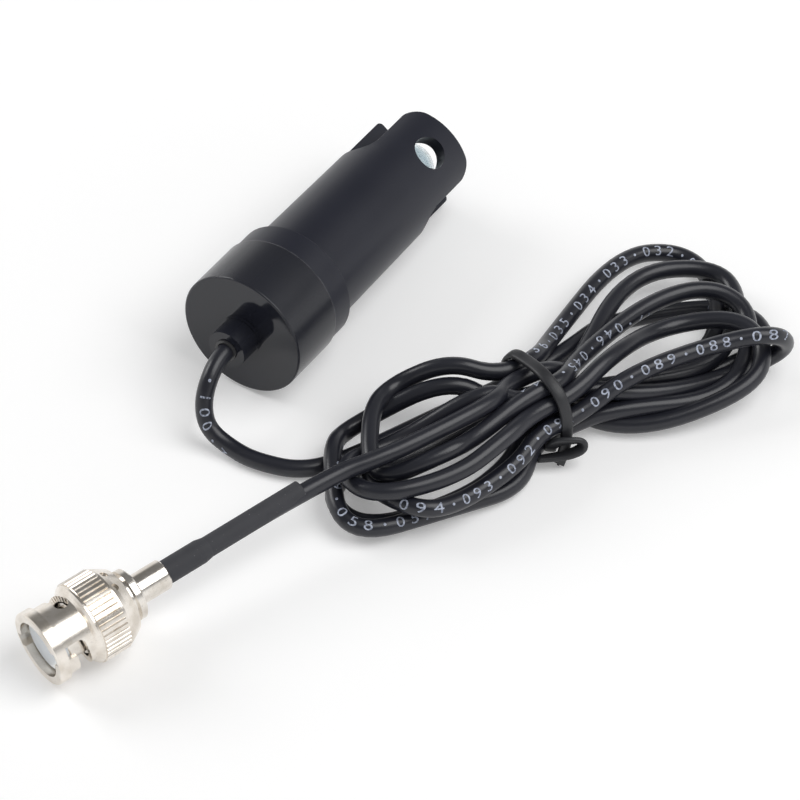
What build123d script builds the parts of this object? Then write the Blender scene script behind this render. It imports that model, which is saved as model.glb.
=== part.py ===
from build123d import *
import math
import os

# A laboratory pH electrode lying on a bench: a black moulded housing with a two-pronged guard
# round a glass bulb, a 1.2 m coaxial lead wound into a tied hank, and a bayonet plug on its end.
# Millimetres, +Z up. The electrode lies along +Y with its bulb towards +Y, and the origin is
# under the middle of its box, on the bench.

os.makedirs("parts", exist_ok=True)

# Electrode, measured along its own axis from the flat end face of the cap. Its radii build up
# from the bore outwards
BORE_RADIUS = 6.9
SPIGOT_WALL = 2.65
SPIGOT_CLEARANCE = 0.05
CAP_WALL = 1.9
CAP_LENGTH = 11.35
CAP_EDGE = 0.3
CAP_FLOOR = 2.2
COLLAR_STEP = 0.35
COLLAR_LENGTH = 5.0
COLLAR_EDGE = 0.35
BODY_STEP = 1.3
BODY_TAPER = 0.45
BODY_LENGTH = 40.05
RESIN_DEPTH = 2.15

# Guard prongs
SLOT_NEAR = 5.5
SLOT_FAR = 2.6
SLOT_LENGTH = 13.6
SLOT_CORNER = 3.0
NEAR_PRONG_CORNER = 2.6
FAR_PRONG_CORNER = 1.0
WINDOW_RADIUS = 3.0
WINDOW_FROM_TIP = 6.6
FORK_ROLL = 36.5

# Lead, from its conductor outwards
CORE_RADIUS = 0.45
DIELECTRIC_WALL = 0.4
BRAID_WALL = 0.4
JACKET_WALL = 0.25
CORE_CLEARANCE = 0.04
LEAD_CLEARANCE = 0.03
LEAD_IN_BOSS = 1.0
DIELECTRIC_IN_CAP = 6.0

# Cable boss on the cap
BOSS_WALL = 1.5
BOSS_LENGTH = 4.5
BOSS_ROOT_STEP = 0.25
BOSS_ROOT_LENGTH = 0.5
GLUE_GAP = 0.5
GLUE_DEPTH = 2.0
GLUE_RISE = 0.35
SEAT_CLEARANCE = 0.02

# Glass cell and what it holds
STEM_RADIUS = 4.0
STEM_WALL = 0.8
STEM_START = 16.0
BULB_SWELL = 0.9
BULB_WALL = 0.5
BULB_FROM_TIP = 5.3
STOPPER_LENGTH = 4.0
SILVER_RADIUS = 0.45
SILVER_PAST_CENTRE = 2.8
REFERENCE_RADIUS = 0.4
REFERENCE_GAP = 1.9
JUNCTION_LENGTH = 3.0
FRONT_SEAL_LENGTH = 3.0
FRONT_SEAL_RECESS = 0.6
PORE_RADIUS = 0.35
PORE_COUNT = 8
REAR_SEAL_LENGTH = 2.5
REAR_SEAL_PLACE = 1.0
SEAL_CLEARANCE = 0.04
RING_SECTION = 0.9
RING_SHARE = 0.8
RING_PLACE = 3.0
RING_NIP = 0.01
RING_GROOVE_WIDTH = 1.2
SHROUD_WALL = 0.45
SHROUD_LENGTH = 6.0
SHROUD_GAP = 1.0

# Plug, measured along its own axis from the front rim of the coupling ring. Its radii build up
# from the outer contact outwards
CONTACT_RADIUS = 4.05
CONTACT_WALL = 0.45
CONTACT_EDGE = 0.2
CONTACT_START = 2.4
CONTACT_SLOTS = 4
CONTACT_SLOT_WIDTH = 0.5
CONTACT_SLOT_LENGTH = 4.6
SOCKET_WALL = 0.5
FRONT_CLEARANCE = 0.35
RIM_WALL = 1.6
RIM_LENGTH = 2.0
RIM_FORWARD = 0.7
RIM_RAMP = 0.2
RIM_EDGE = 0.2
SLEEVE_STEP = 0.55
FLANGE_STEP = 1.05
FLANGE_CLEARANCE = 0.3
GRIP_WALL = 1.25
KNURL_START = 7.3
KNURL_LENGTH = 5.5
KNURL_LIP = 0.45
KNURL_LIP_DROP = 0.25
KNURL_DEPTH = 0.22
KNURL_COUNT = 48
KNURL_RAMP = 0.8
DOME_LENGTH = 2.4
DOME_DROP = 1.55
CHAMBER_START = 9.1
BAYONET_WIDTH = 2.2
BAYONET_ENTRY = 3.9
BAYONET_DEPTH = 5.3
BAYONET_TURN = 102.0
BAYONET_STEPS = 12
BAYONET_LIP = 0.6
LOCK_HOLE_RADIUS = 1.2
LOCK_HOLE_BACK = 0.1
STAKE_RADIUS = 0.65
STAKE_DEPTH = 0.4
STAKE_SPREAD = 28.0
STAKE_SLANT = 62.0
STAKE_OUT = 0.95
STAKE_BACK = 1.6
RING_CLEARANCE = 0.06
RING_TRAVEL = 0.8
STACK_PLAY = 0.2

BODY_FLANGE_START = 9.4
BODY_FLANGE_LENGTH = 0.9
NECK_RADIUS = 3.8
REAR_FLANGE_STEP = 0.65
REAR_FLANGE_START = 16.3
REAR_FLANGE_LENGTH = 1.3
REAR_FLANGE_EDGE = 0.3
PLUG_BORE_CLEARANCE = 0.1
CRIMP_STEM_WALL = 0.35
CRIMP_STEM_LENGTH = 5.0
PTFE_START = 6.2
PTFE_LENGTH = 8.0
PTFE_RECESS = 0.6
PTFE_CLEARANCE = 0.03
PIN_RADIUS = 0.68
PIN_START = 3.4
PIN_TAIL = 1.0
PIN_EDGE = 0.25
FERRULE_WALL = 0.65
FERRULE_LENGTH = 6.0
FERRULE_EDGE = 0.25
GASKET_WIDTH = 0.8
GASKET_CLEARANCE = 0.08
WASHER_THICKNESS = 0.3
WASHER_PLAY = 0.05
WAVE_HEIGHT = 0.5
WAVE_THICKNESS = 0.22
WAVE_COUNT = 3
WAVE_MARGIN = 0.1
DUST_PLUG_LENGTH = 2.6
DUST_PLUG_CLEARANCE = 0.3
DUST_PLUG_FRONT = 0.6
DUST_PLUG_EDGE = 0.35
DUST_PLUG_SEAT = 0.05

# Heat-shrink sleeve behind the plug
SHRINK_WALL_THICK = 0.55
SHRINK_WALL_THIN = 0.27
SHRINK_STEP = 7.0
SHRINK_RAMP = 1.5
SHRINK_LENGTH = 27.0

# Where the plug lies: under its front rim, and its heading from +Y towards +X
PLUG_X = 9.4
PLUG_Y = -96.8
PLUG_HEADING = 20.5
RING_ROLL = -22.6

# Route of the lead from the boss to the hank, corner by corner after the straight exit
LEAD_EXIT = 6.5
LEAD_END_GAP = 0.1
NEAR_ROUTE = [
    (0.2, -36.9, 10.4), (0.6, -39.9, 6.7), (2.6, -41.2, 3.2), (6.6, -41.3, 1.55),
    (12.6, -41.0, 1.55), (19.6, -38.7, 1.55), (25.2, -33.0, 1.6),
]

# Route of the lead from the plug over the hank's end to its waist
FAR_BEND = 56.0
FAR_ROUTE = [(35.6, -33.4, 10.4), (42.6, -18.2, 9.2)]
TUBE_SHARE = 0.45

# Hank and its tie
HANK_X = 46.0
HANK_Y = -9.0
HANK_HEADING = 25.0
HANK_HEIGHT = 8.5
WAIST_HEIGHT = 12.6
WAIST_HALF_LENGTH = 9.0
WAIST_LEFT = -6.3
WAIST_RIGHT = 8.0
WAIST_ROUNDING = 0.4
TIE_WIDTH = 4.0
TIE_THICKNESS = 0.8
TIE_PLACE = 1.0
TIE_CLEARANCE = 0.05
TAIL_HEIGHT = 4.2
TAIL_LENGTH = 9.0
TAIL_TURNS = 1.5
TAIL_WIDTH = 2.8
TAIL_STEPS = 8
TAIL_WAY = (0.55, -0.75, -0.28)

# Radii that follow from the sizes
SPIGOT_RADIUS = BORE_RADIUS + SPIGOT_WALL
CAP_RADIUS = SPIGOT_RADIUS + CAP_WALL
COLLAR_RADIUS = CAP_RADIUS - COLLAR_STEP
BODY_ROOT_RADIUS = COLLAR_RADIUS - BODY_STEP
BODY_TIP_RADIUS = BODY_ROOT_RADIUS - BODY_TAPER
DIELECTRIC_RADIUS = CORE_RADIUS + DIELECTRIC_WALL
BRAID_RADIUS = DIELECTRIC_RADIUS + BRAID_WALL
LEAD_RADIUS = BRAID_RADIUS + JACKET_WALL
BOSS_BORE_RADIUS = LEAD_RADIUS + GLUE_GAP
BOSS_RADIUS = BOSS_BORE_RADIUS + BOSS_WALL
BULB_RADIUS = STEM_RADIUS + BULB_SWELL
REFERENCE_OFFSET = (STEM_RADIUS + BORE_RADIUS) / 2
COUPLING_BORE = CONTACT_RADIUS + SOCKET_WALL + FRONT_CLEARANCE
RIM_RADIUS = COUPLING_BORE + RIM_WALL
BODY_FLANGE_RADIUS = CONTACT_RADIUS + SOCKET_WALL + FLANGE_STEP
CHAMBER_RADIUS = BODY_FLANGE_RADIUS + FLANGE_CLEARANCE
KNURL_RADIUS = CHAMBER_RADIUS + GRIP_WALL
DOME_RADIUS = KNURL_RADIUS - DOME_DROP
PLUG_REST = KNURL_START + KNURL_LIP + RIM_FORWARD
PLUG_RISE = math.degrees(math.atan2(KNURL_RADIUS - RIM_RADIUS, PLUG_REST))
REAR_FLANGE_RADIUS = NECK_RADIUS + REAR_FLANGE_STEP
PLUG_BORE = LEAD_RADIUS + PLUG_BORE_CLEARANCE
CRIMP_STEM_RADIUS = PLUG_BORE + CRIMP_STEM_WALL
FERRULE_RADIUS = CRIMP_STEM_RADIUS + FERRULE_WALL

# Places along the electrode that follow from the sizes
BODY_END = CAP_LENGTH + COLLAR_LENGTH + BODY_LENGTH
SLOT_BOTTOM = BODY_END - SLOT_LENGTH
WINDOW_PLACE = BODY_END - WINDOW_FROM_TIP
BULB_CENTRE = BODY_END - BULB_FROM_TIP
SILVER_TIP = BULB_CENTRE + SILVER_PAST_CENTRE
SPIGOT_START = CAP_FLOOR + RESIN_DEPTH
SLEEVE_BORE = LEAD_RADIUS + LEAD_CLEARANCE

# Heights that follow from the sizes: the cap's far rim and the tips of the prongs touch the bench
TILT = math.degrees(math.asin((CAP_RADIUS - BODY_TIP_RADIUS) / (BODY_END - CAP_LENGTH)))


def bar(radius, start, end):
    """A round bar on the Z axis between two heights."""
    return Pos(0, 0, start) * Cylinder(radius, end - start, align=(Align.CENTER, Align.CENTER, Align.MIN))


def tube(outer, inner, start, end):
    """A straight tube on the Z axis between two heights."""
    return bar(outer, start, end) - bar(inner, start - 1, end + 1)


def turned(points):
    """A solid turned from a closed outline of (radius, height) points."""
    outline = Polyline([(radius, 0, height) for radius, height in points], close=True)
    return revolve(make_face(outline), Axis.Z)


# Housing pieces of the electrode, each made standing on the Z axis with the cap's face at zero

def make_end_cap():
    shell = bar(CAP_RADIUS, 0, CAP_LENGTH)
    shell = fillet(shell.edges().filter_by(GeomType.CIRCLE), CAP_EDGE)
    shell += bar(BOSS_RADIUS + BOSS_ROOT_STEP, -BOSS_ROOT_LENGTH, CAP_FLOOR)
    shell += bar(BOSS_RADIUS, -BOSS_LENGTH, CAP_FLOOR)
    shell -= bar(SPIGOT_RADIUS, CAP_FLOOR, CAP_LENGTH + 1)
    shell -= bar(SLEEVE_BORE, -BOSS_LENGTH - 1, CAP_FLOOR + 1)
    shell -= bar(BOSS_BORE_RADIUS, -BOSS_LENGTH - 1, GLUE_DEPTH - BOSS_LENGTH)
    return shell


def make_guard_body():
    root = CAP_LENGTH + COLLAR_LENGTH
    spigot = SPIGOT_RADIUS - SPIGOT_CLEARANCE
    shell = turned([
        (0, SPIGOT_START), (spigot, SPIGOT_START), (spigot, CAP_LENGTH), (COLLAR_RADIUS, CAP_LENGTH),
        (COLLAR_RADIUS, root - COLLAR_EDGE), (COLLAR_RADIUS - COLLAR_EDGE, root),
        (BODY_ROOT_RADIUS, root), (BODY_TIP_RADIUS, BODY_END), (0, BODY_END),
    ])
    groove = spigot - RING_SECTION * RING_SHARE
    middle = SPIGOT_START + RING_PLACE
    shell -= tube(spigot + 1, groove, middle - RING_GROOVE_WIDTH / 2, middle + RING_GROOVE_WIDTH / 2)
    shell -= bar(BORE_RADIUS, SPIGOT_START - 1, BODY_END + 1)
    shell -= make_slot()
    shell &= make_prong_outline()
    window = Pos(0, 0, WINDOW_PLACE) * Rot(90, 0, 0) * Cylinder(WINDOW_RADIUS, 3 * BODY_TIP_RADIUS)
    shell -= window
    return shell


def make_slot():
    """The cut between the prongs, open at the tip, with rounded bottom corners."""
    depth = BODY_END - SLOT_BOTTOM + 2
    middle = (SLOT_FAR - SLOT_NEAR) / 2
    block = Pos(0, middle, SLOT_BOTTOM) * Box(
        4 * BODY_TIP_RADIUS, SLOT_NEAR + SLOT_FAR, depth, align=(Align.CENTER, Align.CENTER, Align.MIN))
    corners = block.faces().sort_by(Axis.Z)[0].edges().filter_by(Axis.X)
    return fillet(corners, SLOT_CORNER)


def make_tongue(slot_side, corner, side):
    """The outline of one prong, seen along its window, with rounded corners at the tip."""
    half = math.sqrt(BODY_TIP_RADIUS ** 2 - slot_side ** 2)
    length = BODY_END - SLOT_BOTTOM
    depth = 2 * BODY_TIP_RADIUS
    block = Pos(0, side * depth / 2, 0) * Box(
        2 * half, depth, length, align=(Align.CENTER, Align.CENTER, Align.MIN))
    corners = block.edges().filter_by(Axis.Y).group_by(Axis.Z)[-1]
    return Pos(0, 0, SLOT_BOTTOM) * fillet(corners, corner)


def make_prong_outline():
    """Both prongs' outlines and the whole body behind them."""
    near = make_tongue(SLOT_NEAR, NEAR_PRONG_CORNER, -1)
    far = make_tongue(SLOT_FAR, FAR_PRONG_CORNER, 1)
    return near + far + bar(2 * CAP_RADIUS, 0, SLOT_BOTTOM + SLOT_CORNER)


def make_glass_cell():
    """Stem and bulb blown as one piece, open at the top."""
    neck = BULB_CENTRE - math.sqrt(BULB_RADIUS ** 2 - STEM_RADIUS ** 2)
    outer = bar(STEM_RADIUS, STEM_START, neck + 0.5) + Pos(0, 0, BULB_CENTRE) * Sphere(BULB_RADIUS)
    inner = bar(STEM_RADIUS - STEM_WALL, STEM_START - 1, BULB_CENTRE)
    inner += Pos(0, 0, BULB_CENTRE) * Sphere(BULB_RADIUS - BULB_WALL)
    return outer - inner


def make_stopper():
    plug = bar(STEM_RADIUS - STEM_WALL - SEAL_CLEARANCE, STEM_START, STEM_START + STOPPER_LENGTH)
    return plug - bar(SILVER_RADIUS + SEAL_CLEARANCE, STEM_START - 1, STEM_START + STOPPER_LENGTH + 1)


JOINT_PLACE = STEM_START - SHROUD_GAP - SHROUD_LENGTH / 2


def make_silver_wire():
    """Chlorided silver wire from the lead's core down into the bulb."""
    return bar(SILVER_RADIUS, JOINT_PLACE, SILVER_TIP)


def make_core():
    """Bare end of the lead's inner conductor, butted to the silver wire in its shroud."""
    return bar(CORE_RADIUS, -LEAD_IN_BOSS, JOINT_PLACE)


def make_dielectric():
    """Stripped insulation of the inner conductor, held in the resin."""
    return tube(DIELECTRIC_RADIUS, CORE_RADIUS + CORE_CLEARANCE, -LEAD_IN_BOSS, DIELECTRIC_IN_CAP)


def make_braid():
    """End of the lead's braid, inside the cap's cable hole."""
    return tube(BRAID_RADIUS, DIELECTRIC_RADIUS + CORE_CLEARANCE, -LEAD_IN_BOSS, CAP_FLOOR)


def make_joint_shroud():
    bore = max(SILVER_RADIUS, CORE_RADIUS) + CORE_CLEARANCE
    return tube(bore + SHROUD_WALL, bore, JOINT_PLACE - SHROUD_LENGTH / 2, JOINT_PLACE + SHROUD_LENGTH / 2)


def make_seal(start, length):
    """A ring that closes the space between the glass stem and the housing's bore."""
    return tube(BORE_RADIUS - SEAL_CLEARANCE, STEM_RADIUS + SEAL_CLEARANCE, start, start + length)


REAR_SEAL_START = STEM_START + REAR_SEAL_PLACE
FRONT_SEAL_END = SLOT_BOTTOM - FRONT_SEAL_RECESS
JUNCTION_END = FRONT_SEAL_END - FRONT_SEAL_LENGTH


def make_rear_seal():
    ring = make_seal(REAR_SEAL_START, REAR_SEAL_LENGTH)
    hole = bar(REFERENCE_RADIUS + SEAL_CLEARANCE, REAR_SEAL_START - 1, REAR_SEAL_START + REAR_SEAL_LENGTH + 1)
    return ring - Pos(REFERENCE_OFFSET, 0, 0) * hole


def make_junction():
    """Porous ring through which the reference side meets the sample."""
    return make_seal(JUNCTION_END - JUNCTION_LENGTH, JUNCTION_LENGTH)


def make_front_seal():
    ring = make_seal(JUNCTION_END, FRONT_SEAL_LENGTH)
    pore = Pos(REFERENCE_OFFSET, 0, 0) * bar(PORE_RADIUS, JUNCTION_END - 1, FRONT_SEAL_END + 1)
    for number in range(PORE_COUNT):
        ring -= Rot(0, 0, 360 / PORE_COUNT * number) * pore
    return ring


def make_reference_wire():
    """Second silver wire, soldered to the lead's braid at its upper end."""
    wire = bar(REFERENCE_RADIUS, SPIGOT_START, JUNCTION_END - JUNCTION_LENGTH - REFERENCE_GAP)
    return Pos(REFERENCE_OFFSET, 0, 0) * wire


def make_cap_ring():
    """Rubber ring in the housing's groove, squeezed by the cap."""
    inner = SPIGOT_RADIUS - SPIGOT_CLEARANCE - RING_SECTION * RING_SHARE
    middle = (inner + SPIGOT_RADIUS) / 2
    section = (SPIGOT_RADIUS - inner) / 2
    return Pos(0, 0, SPIGOT_START + RING_PLACE) * Torus(middle, section - RING_NIP)


def make_potting():
    """Cast resin that fills the cap behind the housing and grips the stripped lead."""
    end = SPIGOT_START - SEAL_CLEARANCE
    block = bar(SPIGOT_RADIUS - SEAL_CLEARANCE, CAP_FLOOR, end)
    return block - bar(DIELECTRIC_RADIUS + CORE_CLEARANCE, CAP_FLOOR - 1, end + 1)


def make_boss_glue():
    """Bead of glue in the boss's mouth, round the lead."""
    radius = BOSS_BORE_RADIUS - SEAT_CLEARANCE
    return tube(radius, SLEEVE_BORE, -BOSS_LENGTH - GLUE_RISE, GLUE_DEPTH - BOSS_LENGTH)


# Plug pieces, made on the Z axis with the coupling ring's front rim at zero

COUPLING_REAR_BORE = NECK_RADIUS + RING_CLEARANCE
FLANGE_END = BODY_FLANGE_START + BODY_FLANGE_LENGTH
CHAMBER_END = FLANGE_END + WAVE_HEIGHT + WAVE_THICKNESS + RING_TRAVEL + WASHER_THICKNESS + STACK_PLAY
COUPLING_END = KNURL_START + KNURL_LENGTH + DOME_LENGTH
RIM_END = RIM_LENGTH - RIM_FORWARD


def make_coupling_ring():
    lip = KNURL_RADIUS - KNURL_LIP_DROP
    sleeve = RIM_RADIUS - SLEEVE_STEP
    knurl_end = KNURL_START + KNURL_LENGTH
    ring = turned([
        (COUPLING_BORE, -RIM_FORWARD), (RIM_RADIUS - RIM_EDGE, -RIM_FORWARD),
        (RIM_RADIUS, RIM_EDGE - RIM_FORWARD), (RIM_RADIUS, RIM_END), (sleeve, RIM_END + RIM_RAMP),
        (sleeve, KNURL_START - KNURL_RAMP), (lip - KNURL_RAMP / 2, KNURL_START - KNURL_RAMP / 2),
        (lip, KNURL_START), (lip, KNURL_START + KNURL_LIP), (KNURL_RADIUS, KNURL_START + KNURL_LIP),
        (KNURL_RADIUS, knurl_end - KNURL_LIP), (lip, knurl_end - KNURL_LIP), (lip, knurl_end),
        (lip - DOME_DROP / 4, knurl_end + DOME_LENGTH / 3), (DOME_RADIUS, COUPLING_END),
        (COUPLING_REAR_BORE, COUPLING_END), (COUPLING_REAR_BORE, CHAMBER_END),
        (CHAMBER_RADIUS, CHAMBER_END), (CHAMBER_RADIUS, CHAMBER_START), (COUPLING_BORE, CHAMBER_START),
    ])
    ring -= make_knurl_grooves()
    for side in (0, 180):
        ring -= Rot(0, 0, side) * make_bayonet_cut()
    stake = Rot(0, STAKE_SLANT, 0) * Cylinder(STAKE_RADIUS, 2 * STAKE_DEPTH)
    stake = Pos(DOME_RADIUS + STAKE_OUT, 0, COUPLING_END - STAKE_BACK) * stake
    for turn in (BAYONET_TURN, BAYONET_TURN + STAKE_SPREAD):
        for side in (0, 180):
            ring -= Rot(0, 0, turn + side) * stake
    return ring


def make_knurl_grooves():
    """Straight V grooves all round the grip."""
    start = KNURL_START + KNURL_LIP
    length = KNURL_LENGTH - 2 * KNURL_LIP
    half = math.pi * KNURL_RADIUS / KNURL_COUNT * 0.5
    top = KNURL_RADIUS + 0.1
    outline = Polyline([(KNURL_RADIUS - KNURL_DEPTH, 0), (top, half), (top, -half)], close=True)
    groove = Pos(0, 0, start) * extrude(make_face(outline), length)
    return [Rot(0, 0, 360 / KNURL_COUNT * number) * groove for number in range(KNURL_COUNT)]


def make_bayonet_cut():
    """One bayonet track: groove inside the rim, straight entry, rising ramp and a round lock hole."""
    middle = (COUPLING_BORE + RIM_RADIUS) / 2
    reach = RIM_RADIUS - COUPLING_BORE + 1.2
    cutter = Cylinder(BAYONET_WIDTH / 2, reach, rotation=(0, 90, 0))
    inside = RIM_RADIUS - BAYONET_LIP
    groove = Box(inside, BAYONET_WIDTH, RIM_LENGTH + 1, align=(Align.MIN, Align.CENTER, Align.MAX))
    entry = Box(reach, BAYONET_WIDTH, BAYONET_ENTRY - RIM_END, align=(Align.CENTER, Align.CENTER, Align.MIN))
    cut = Pos(0, 0, RIM_END) * groove + Pos(middle, 0, RIM_END) * entry
    for number in range(BAYONET_STEPS + 1):
        share = number / BAYONET_STEPS
        height = BAYONET_ENTRY + (BAYONET_DEPTH - BAYONET_ENTRY) * share
        cut += Rot(0, 0, BAYONET_TURN * share) * Pos(middle, 0, height) * cutter
    lock = Cylinder(LOCK_HOLE_RADIUS, reach, rotation=(0, 90, 0))
    cut += Rot(0, 0, BAYONET_TURN) * Pos(middle, 0, BAYONET_DEPTH - LOCK_HOLE_BACK) * lock
    return cut


def make_plug_body():
    """Turned body: flange that the ring bears on, neck, rear flange and the crimp stem."""
    rear_end = REAR_FLANGE_START + REAR_FLANGE_LENGTH
    seat = CONTACT_RADIUS - CONTACT_WALL
    socket = CONTACT_RADIUS + SOCKET_WALL
    edge = REAR_FLANGE_EDGE
    body = turned([
        (seat, PTFE_START), (socket, PTFE_START), (socket, BODY_FLANGE_START),
        (BODY_FLANGE_RADIUS, BODY_FLANGE_START), (BODY_FLANGE_RADIUS, FLANGE_END),
        (NECK_RADIUS, FLANGE_END), (NECK_RADIUS, REAR_FLANGE_START),
        (REAR_FLANGE_RADIUS, REAR_FLANGE_START), (REAR_FLANGE_RADIUS, rear_end - edge),
        (REAR_FLANGE_RADIUS - edge, rear_end), (CRIMP_STEM_RADIUS, rear_end),
        (CRIMP_STEM_RADIUS, rear_end + CRIMP_STEM_LENGTH), (PLUG_BORE, rear_end + CRIMP_STEM_LENGTH),
        (PLUG_BORE, PTFE_START + PTFE_LENGTH), (seat, PTFE_START + PTFE_LENGTH),
    ])
    return body - tube(CONTACT_RADIUS, seat - 1, PTFE_START - 1, BODY_FLANGE_START)


def make_outer_contact():
    """Slotted spring sleeve round the pin."""
    inner = CONTACT_RADIUS - CONTACT_WALL
    sleeve = tube(CONTACT_RADIUS - SEAT_CLEARANCE, inner, CONTACT_START, BODY_FLANGE_START - SEAT_CLEARANCE)
    front_edges = sleeve.edges().filter_by(GeomType.CIRCLE).group_by(Axis.Z)[0]
    sleeve = chamfer(front_edges.sort_by(SortBy.RADIUS)[-1], CONTACT_EDGE)
    slot = Box(4 * CONTACT_WALL, CONTACT_SLOT_WIDTH, CONTACT_SLOT_LENGTH)
    slot = Pos(inner, 0, CONTACT_START - 0.1 + CONTACT_SLOT_LENGTH / 2) * slot
    for number in range(CONTACT_SLOTS):
        sleeve -= Rot(0, 0, 45 + 360 / CONTACT_SLOTS * number) * slot
    return sleeve


def make_insulator():
    """White dielectric bead that holds the pin in the middle."""
    radius = CONTACT_RADIUS - CONTACT_WALL - PTFE_CLEARANCE
    end = PTFE_START + PTFE_LENGTH
    bead = bar(radius, PTFE_START + PTFE_RECESS, end - PTFE_CLEARANCE)
    return bead - bar(PIN_RADIUS + PTFE_CLEARANCE, PTFE_START, end + 1)


def make_centre_pin():
    pin = bar(PIN_RADIUS, PIN_START, PTFE_START + PTFE_LENGTH + PIN_TAIL)
    return chamfer(pin.edges().filter_by(GeomType.CIRCLE).group_by(Axis.Z)[0], PIN_EDGE)


def make_gasket():
    """Flat rubber ring that seals the plug's face on the mating jack."""
    inner = CONTACT_RADIUS + SOCKET_WALL + SEAT_CLEARANCE
    end = BODY_FLANGE_START - SEAT_CLEARANCE
    return tube(COUPLING_BORE - GASKET_CLEARANCE, inner, end - GASKET_WIDTH, end)


def make_dust_plug():
    """White plastic disc pushed into the plug's mouth, with a hollow stem over the pin."""
    back = CONTACT_START - DUST_PLUG_SEAT
    end = CONTACT_START + DUST_PLUG_LENGTH
    disc = bar(COUPLING_BORE - DUST_PLUG_CLEARANCE, DUST_PLUG_FRONT, back)
    disc = fillet(disc.edges().filter_by(GeomType.CIRCLE).group_by(Axis.Z)[0], DUST_PLUG_EDGE)
    stem = bar(CONTACT_RADIUS - CONTACT_WALL - DUST_PLUG_SEAT, back, end)
    hollow = bar(PIN_RADIUS + DUST_PLUG_CLEARANCE, PIN_START - DUST_PLUG_CLEARANCE, end + 1)
    return disc + stem - hollow


THRUST_START = CHAMBER_END - WASHER_THICKNESS - PTFE_CLEARANCE


def make_thrust_washer():
    return tube(BODY_FLANGE_RADIUS, NECK_RADIUS + WASHER_PLAY, THRUST_START, THRUST_START + WASHER_THICKNESS)


def make_wave_washer():
    """Spring washer with three gentle waves, lying on the body's flange."""
    inner = NECK_RADIUS + WAVE_MARGIN
    outer = BODY_FLANGE_RADIUS - WAVE_MARGIN
    count = 8 * WAVE_COUNT
    rows = []
    for radius in (inner, outer):
        points = []
        for number in range(count):
            turn = 2 * math.pi * number / count
            height = FLANGE_END + SEAT_CLEARANCE + WAVE_HEIGHT / 2 * (1 - math.cos(WAVE_COUNT * turn))
            points.append((radius * math.cos(turn), radius * math.sin(turn), height))
        rows.append(Spline(points, periodic=True))
    sheet = Face.make_surface_from_curves(rows[0].edges()[0], rows[1].edges()[0])
    return thicken(sheet, WAVE_THICKNESS, normal_override=(0, 0, 1))


def make_plug_core():
    """Inner conductor between the stripped lead and the pin's tail."""
    start = PTFE_START + PTFE_LENGTH + PIN_TAIL
    return bar(CORE_RADIUS, start, REAR_FLANGE_START + REAR_FLANGE_LENGTH + CRIMP_STEM_LENGTH)


def make_plug_dielectric():
    """Insulation of the inner conductor inside the crimp stem."""
    start = PTFE_START + PTFE_LENGTH + PIN_TAIL
    end = REAR_FLANGE_START + REAR_FLANGE_LENGTH + CRIMP_STEM_LENGTH
    return tube(PLUG_BORE - CORE_CLEARANCE, CORE_RADIUS + CORE_CLEARANCE, start, end)


def make_ferrule():
    """Crimped sleeve that grips the lead's braid on the stem."""
    start = REAR_FLANGE_START + REAR_FLANGE_LENGTH + SEAT_CLEARANCE
    end = start + FERRULE_LENGTH
    step = start + CRIMP_STEM_LENGTH + LEAD_CLEARANCE
    stem = CRIMP_STEM_RADIUS + LEAD_CLEARANCE
    return turned([
        (stem, start), (FERRULE_RADIUS, start), (FERRULE_RADIUS, end - FERRULE_EDGE),
        (FERRULE_RADIUS - FERRULE_EDGE, end), (SLEEVE_BORE, end), (SLEEVE_BORE, step), (stem, step),
    ])


# Placing: the electrode lies tilted on the bench, the plug lies on its ring and rim

def lay_electrode(solid):
    """Turn a piece from its own axis to the electrode's place on the bench."""
    rolled = Rot(0, 0, FORK_ROLL) * solid
    laid = Rot(-90 - TILT, 0, 0) * rolled
    return Pos(0, ELECTRODE_SHIFT, ELECTRODE_LIFT) * laid


TILT_COS = math.cos(math.radians(TILT))
TILT_SIN = math.sin(math.radians(TILT))
ELECTRODE_LIFT = (CAP_RADIUS - CAP_EDGE) * TILT_COS + (CAP_LENGTH - CAP_EDGE) * TILT_SIN + CAP_EDGE
ELECTRODE_SHIFT = -(BODY_END - BOSS_LENGTH) * TILT_COS / 2


def electrode_point(place, drop=0.0):
    """A point on the electrode's axis, or below it, in the model's frame."""
    y = ELECTRODE_SHIFT + place * TILT_COS - drop * TILT_SIN
    z = ELECTRODE_LIFT - place * TILT_SIN - drop * TILT_COS
    return (0, y, z)


def lay_plug(solid):
    """Turn a piece from the plug's own axis to its place on the bench."""
    laid = Rot(0, 0, -PLUG_HEADING) * Rot(PLUG_RISE - 90, 0, 0) * solid
    return Pos(PLUG_X, PLUG_Y, PLUG_LIFT) * laid


RISE_COS = math.cos(math.radians(PLUG_RISE))
RISE_SIN = math.sin(math.radians(PLUG_RISE))
PLUG_LIFT = KNURL_RADIUS * RISE_COS - (KNURL_START + KNURL_LIP) * RISE_SIN


def plug_point(place):
    """A point on the plug's axis in the model's frame."""
    heading = math.radians(PLUG_HEADING)
    x = PLUG_X + place * RISE_COS * math.sin(heading)
    y = PLUG_Y + place * RISE_COS * math.cos(heading)
    return (x, y, PLUG_LIFT + place * RISE_SIN)


# Lead, its sleeve, the hank and the tie

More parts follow.
